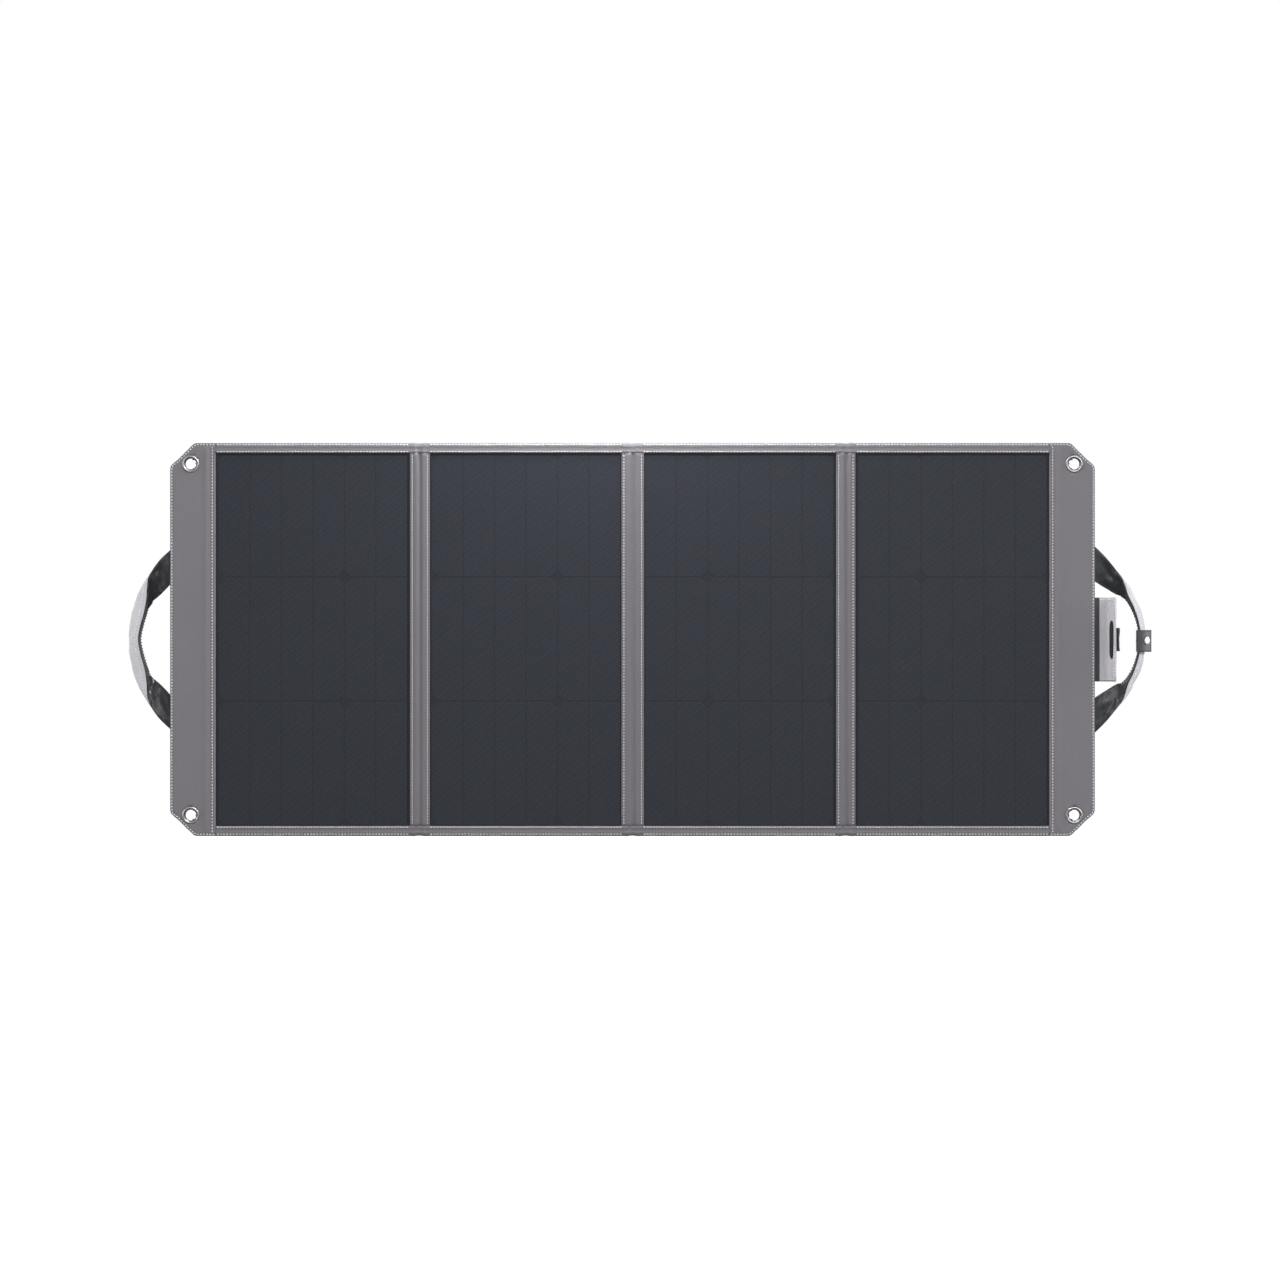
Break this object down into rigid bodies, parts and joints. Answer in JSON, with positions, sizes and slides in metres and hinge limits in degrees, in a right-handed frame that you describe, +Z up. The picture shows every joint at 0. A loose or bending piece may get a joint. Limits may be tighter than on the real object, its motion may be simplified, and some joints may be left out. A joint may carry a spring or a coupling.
{
  "type": "folding solar panel",
  "caption": "Fabric-bordered folding solar panel that unfolds flat, with strap handles, corner eyelets, a closure flap and rear kickstands.",
  "frame": {"origin": "midway between the two top corner eyelets, at half the unfolded panel's thickness", "axes": "the cells face -Y, +X is to the right of someone looking at them, +Z is up"},
  "size_m": [1.322, 0.061, 0.507],
  "materials": {
    "border_fabric": "matte coated polyester, mid grey",
    "back_fabric": "matte coated polyester, near black",
    "backing": "fibre reinforced board",
    "copper": "tinned copper ribbon",
    "cell": "monocrystalline cells in encapsulant",
    "film": "textured satin polymer film",
    "nickel": "polished nickel plate",
    "webbing": "smooth dark webbing with a low sheen",
    "light_fabric": "matte light grey coated fabric",
    "keeper_leather": "matte dark grey synthetic leather",
    "hook": "hook and loop tape",
    "case_plastic": "fine textured moulding"
  },
  "bodies": {
    "panel_1": {"back_cover_1": "back_fabric", "border_1": "border_fabric", "backing_board_1": "backing", "cell_ribbons_1": "copper", "solar_cells_1": "cell", "front_film_1": "film", "hinge_strip_1_2": "border_fabric", "rear_hinge_strip_1_2": "back_fabric", "jumper_lead_1_2": "copper", "eyelet_left_top": "nickel", "eyelet_left_bottom": "nickel", "eyelet_washer_left_top": "nickel", "eyelet_washer_left_bottom": "nickel", "handle_anchor_left": "webbing", "closure_loop_patch": "hook"},
    "panel_2": {"back_cover_2": "back_fabric", "border_2": "border_fabric", "backing_board_2": "backing", "cell_ribbons_2": "copper", "solar_cells_2": "cell", "front_film_2": "film", "hinge_strip_2_3": "border_fabric", "rear_hinge_strip_2_3": "back_fabric", "jumper_lead_2_3": "copper"},
    "panel_3": {"back_cover_3": "back_fabric", "border_3": "border_fabric", "backing_board_3": "backing", "cell_ribbons_3": "copper", "solar_cells_3": "cell", "front_film_3": "film", "hinge_strip_3_4": "border_fabric", "rear_hinge_strip_3_4": "back_fabric", "jumper_lead_3_4": "copper"},
    "panel_4": {"back_cover_4": "back_fabric", "border_4": "border_fabric", "backing_board_4": "backing", "cell_ribbons_4": "copper", "solar_cells_4": "cell", "front_film_4": "film", "eyelet_right_top": "nickel", "eyelet_right_bottom": "nickel", "eyelet_washer_right_top": "nickel", "eyelet_washer_right_bottom": "nickel", "handle_anchor_right": "webbing", "cable_pouch": "back_fabric", "regulator_case": "case_plastic", "regulator_lid": "case_plastic"},
    "handle_left": {"handle_webbing_left": "webbing", "handle_cover_left": "light_fabric"},
    "handle_right": {"handle_webbing_right": "webbing", "handle_cover_right": "light_fabric", "keeper_band": "keeper_leather"},
    "keeper_tab": {"keeper_tab": "keeper_leather", "snap_cap": "nickel"},
    "closure_flap": {"closure_tongue": "light_fabric", "closure_hook_patch": "hook", "closure_pull_tab": "webbing"},
    "stand_left": {"kickstand_left": "back_fabric"},
    "stand_right": {"kickstand_right": "back_fabric"},
    "pouch_lid": {"pouch_lid": "back_fabric"}
  },
  "joints": [
    {"name": "fold_2_3", "type": "hinge", "parent": "panel_2", "child": "panel_3", "pos_m": [0, 0.00435, -0.2265], "axis": [0, 0, 1], "range_deg": [0, 180], "deforming": ["hinge_strip_2_3", "rear_hinge_strip_2_3", "jumper_lead_2_3"]},
    {"name": "fold_1_2", "type": "hinge", "parent": "panel_2", "child": "panel_1", "pos_m": [-0.275, -0.00435, -0.2265], "axis": [0, 0, 1], "range_deg": [0, 180], "deforming": ["hinge_strip_1_2", "rear_hinge_strip_1_2", "jumper_lead_1_2"]},
    {"name": "fold_3_4", "type": "hinge", "parent": "panel_3", "child": "panel_4", "pos_m": [0.275, -0.00435, -0.2265], "axis": [0, 0, -1], "range_deg": [0, 180], "deforming": ["hinge_strip_3_4", "rear_hinge_strip_3_4", "jumper_lead_3_4"]},
    {"name": "handle_left_swing", "type": "hinge", "parent": "panel_1", "child": "handle_left", "pos_m": [-0.5975, 0.00435, -0.2265], "axis": [0, 0, -1], "range_deg": [-90, 90]},
    {"name": "handle_right_swing", "type": "hinge", "parent": "panel_4", "child": "handle_right", "pos_m": [0.5975, 0.00435, -0.2265], "axis": [0, 0, 1], "range_deg": [-45, 90]},
    {"name": "keeper_tab_open", "type": "hinge", "parent": "handle_right", "child": "keeper_tab", "pos_m": [0.6562, -0.00195, -0.2265], "axis": [0, 0, -1], "range_deg": [-8, 110]},
    {"name": "closure_swing", "type": "hinge", "parent": "panel_4", "child": "closure_flap", "pos_m": [0.5995, 0.00405, -0.2265], "axis": [0, 0, 1], "range_deg": [-60, 42]},
    {"name": "stand_left_open", "type": "hinge", "parent": "panel_1", "child": "stand_left", "pos_m": [-0.4125, 0.00495, -0.0115], "axis": [1, 0, 0], "range_deg": [0, 60]},
    {"name": "stand_right_open", "type": "hinge", "parent": "panel_4", "child": "stand_right", "pos_m": [0.4125, 0.00495, -0.0115], "axis": [1, 0, 0], "range_deg": [0, 60]},
    {"name": "pouch_lid_open", "type": "hinge", "parent": "panel_4", "child": "pouch_lid", "pos_m": [0.4125, 0.00485, -0.3667], "axis": [1, 0, 0], "range_deg": [0, 80]}
  ],
  "couplings": [
    {"joint": "fold_1_2", "follows": "fold_2_3", "ratio": 1},
    {"joint": "fold_3_4", "follows": "fold_2_3", "ratio": 1}
  ]
}
